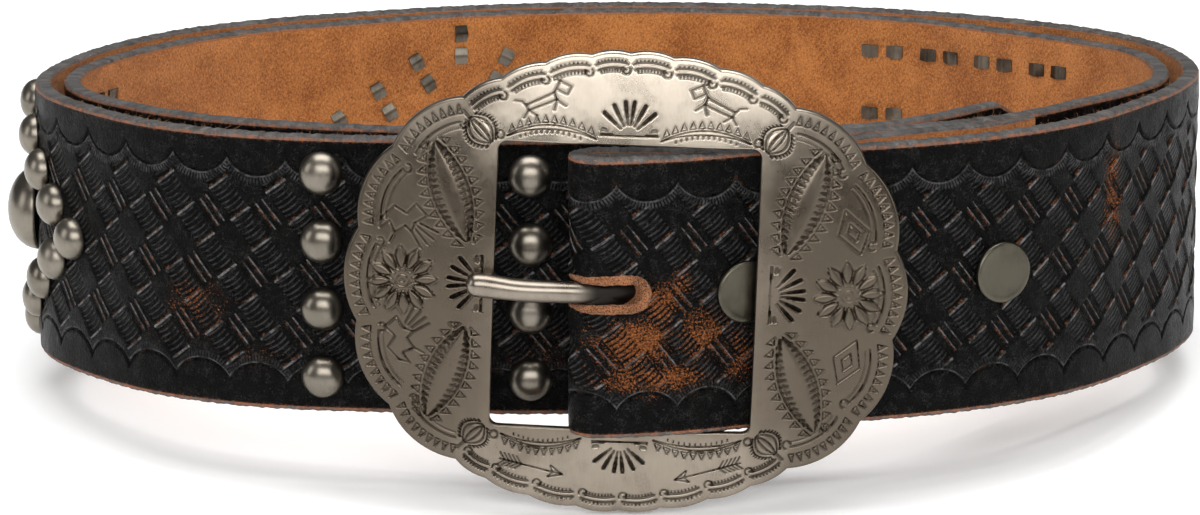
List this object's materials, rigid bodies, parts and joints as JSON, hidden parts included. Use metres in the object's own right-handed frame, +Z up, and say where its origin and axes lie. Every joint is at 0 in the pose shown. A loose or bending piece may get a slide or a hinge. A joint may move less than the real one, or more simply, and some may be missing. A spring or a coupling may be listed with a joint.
{
  "type": "studded leather belt",
  "caption": "Wide tooled leather belt with a scalloped oval plate buckle and domed metal studs in square and diamond motifs, coiled in two turns on its edge",
  "frame": {"origin": "centre of the bounding box's base, on the surface the belt stands on", "axes": "+X to the viewer's right along the buckle's long side, -Y towards the buckle's front, +Z up"},
  "size_m": [0.2204, 0.1518, 0.0831],
  "materials": {
    "leather": "black tooled grain side worn to orange brown on the edges, tan suede inside",
    "silver": "antique silver, stamped, dark in the recesses",
    "nickel": "dark antique nickel, smooth"
  },
  "bodies": {
    "body": {"back_diamond_studs": "nickel", "back_square_studs": "nickel", "buckle": "silver", "cap_left": "nickel", "cap_right": "nickel", "diamond_stud_1": "nickel", "diamond_stud_10": "nickel", "diamond_stud_11": "nickel", "diamond_stud_12": "nickel", "diamond_stud_13": "nickel", "diamond_stud_14": "nickel", "diamond_stud_15": "nickel", "diamond_stud_16": "nickel", "diamond_stud_2": "nickel", "diamond_stud_3": "nickel", "diamond_stud_4": "nickel", "diamond_stud_5": "nickel", "diamond_stud_6": "nickel", "diamond_stud_7": "nickel", "diamond_stud_8": "nickel", "diamond_stud_9": "nickel", "diamond_stud_big": "nickel", "square_stud_1": "nickel", "square_stud_10": "nickel", "square_stud_11": "nickel", "square_stud_12": "nickel", "square_stud_2": "nickel", "square_stud_3": "nickel", "square_stud_4": "nickel", "square_stud_5": "nickel", "square_stud_6": "nickel", "square_stud_7": "nickel", "square_stud_8": "nickel", "square_stud_9": "nickel", "strap": "leather"},
    "prong": {"prong": "silver"}
  },
  "joints": [
    {"name": "prong_hinge", "type": "hinge", "parent": "body", "child": "prong", "pos_m": [-0.00122, -0.06732, 0.0415], "axis": [0, 0.1162, 0.9932], "range_deg": [0, 100]}
  ]
}
